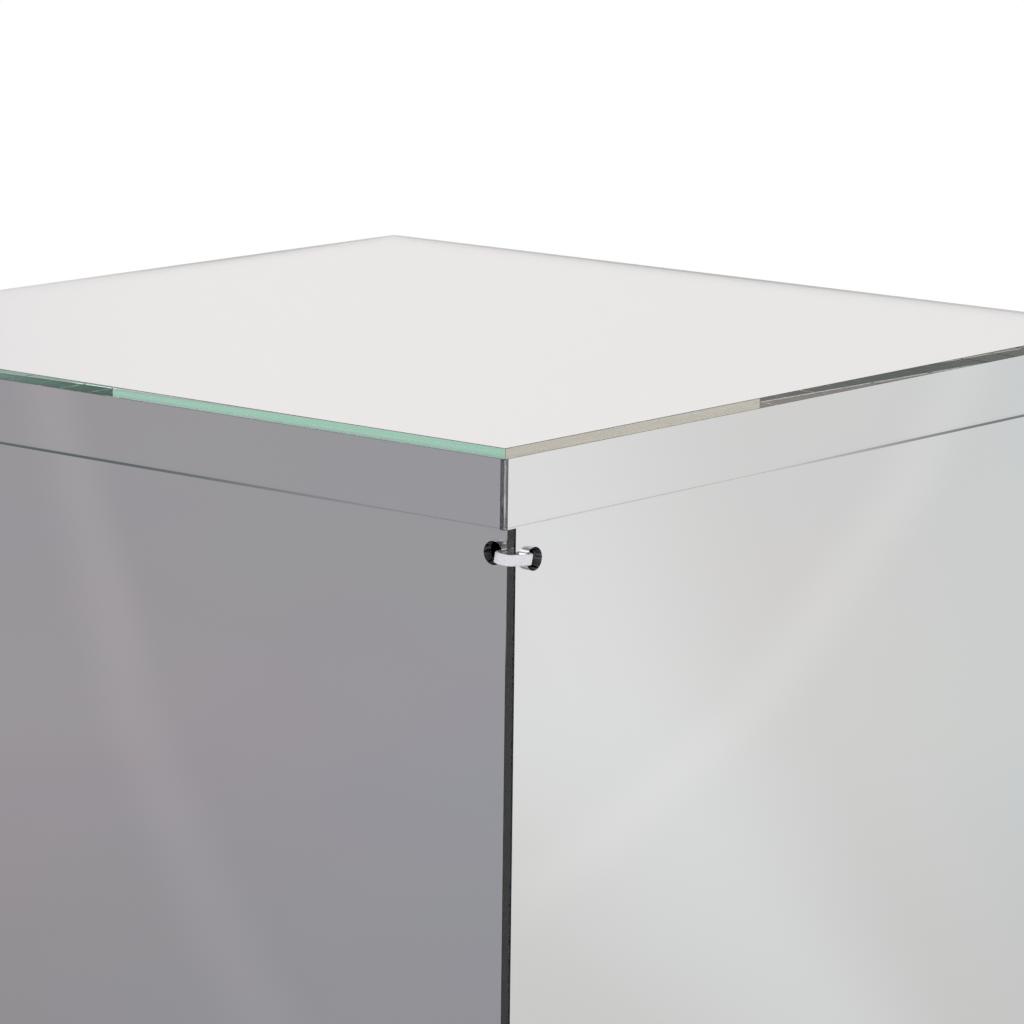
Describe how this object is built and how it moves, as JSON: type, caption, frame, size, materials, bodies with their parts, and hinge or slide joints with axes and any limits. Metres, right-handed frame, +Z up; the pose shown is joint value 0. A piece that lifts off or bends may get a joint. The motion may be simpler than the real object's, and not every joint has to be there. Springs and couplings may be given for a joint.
{
  "type": "mirrored acrylic display cube",
  "caption": "Free-standing cube of mirrored acrylic sheet for showing things on: laced square tube of walls with a lift-off lid cap and a matching base cap.",
  "frame": {"origin": "centre of the base's underside, where the cube stands on a surface", "axes": "+Z up through the lid's top face, +X to the right and -Y to the front, square to the walls"},
  "size_m": [0.3048, 0.3048, 0.3048],
  "materials": {
    "mirror_acrylic": "silver mirror-backed clear acrylic sheet, glossy, laser-cut edges",
    "nylon_tie": "natural moulded nylon, satin"
  },
  "bodies": {
    "base": {"base_bottom_plate": "mirror_acrylic", "base_skirt_front": "mirror_acrylic", "base_skirt_right": "mirror_acrylic", "base_skirt_back": "mirror_acrylic", "base_skirt_left": "mirror_acrylic"},
    "walls": {"wall_front": "mirror_acrylic", "wall_right": "mirror_acrylic", "wall_back": "mirror_acrylic", "wall_left": "mirror_acrylic", "cable_tie_front_left_upper": "nylon_tie", "cable_tie_front_left_lower": "nylon_tie", "cable_tie_front_right_upper": "nylon_tie", "cable_tie_front_right_lower": "nylon_tie", "cable_tie_back_right_upper": "nylon_tie", "cable_tie_back_right_lower": "nylon_tie", "cable_tie_back_left_upper": "nylon_tie", "cable_tie_back_left_lower": "nylon_tie"},
    "lid": {"lid_top_plate": "mirror_acrylic", "lid_skirt_front": "mirror_acrylic", "lid_skirt_right": "mirror_acrylic", "lid_skirt_back": "mirror_acrylic", "lid_skirt_left": "mirror_acrylic"}
  },
  "joints": [
    {"name": "walls_lift", "type": "slide", "parent": "base", "child": "walls", "axis": [0, 0, 1], "range_m": [0, 0.15]},
    {"name": "lid_lift", "type": "slide", "parent": "walls", "child": "lid", "axis": [0, 0, 1], "range_m": [0, 0.15]}
  ]
}
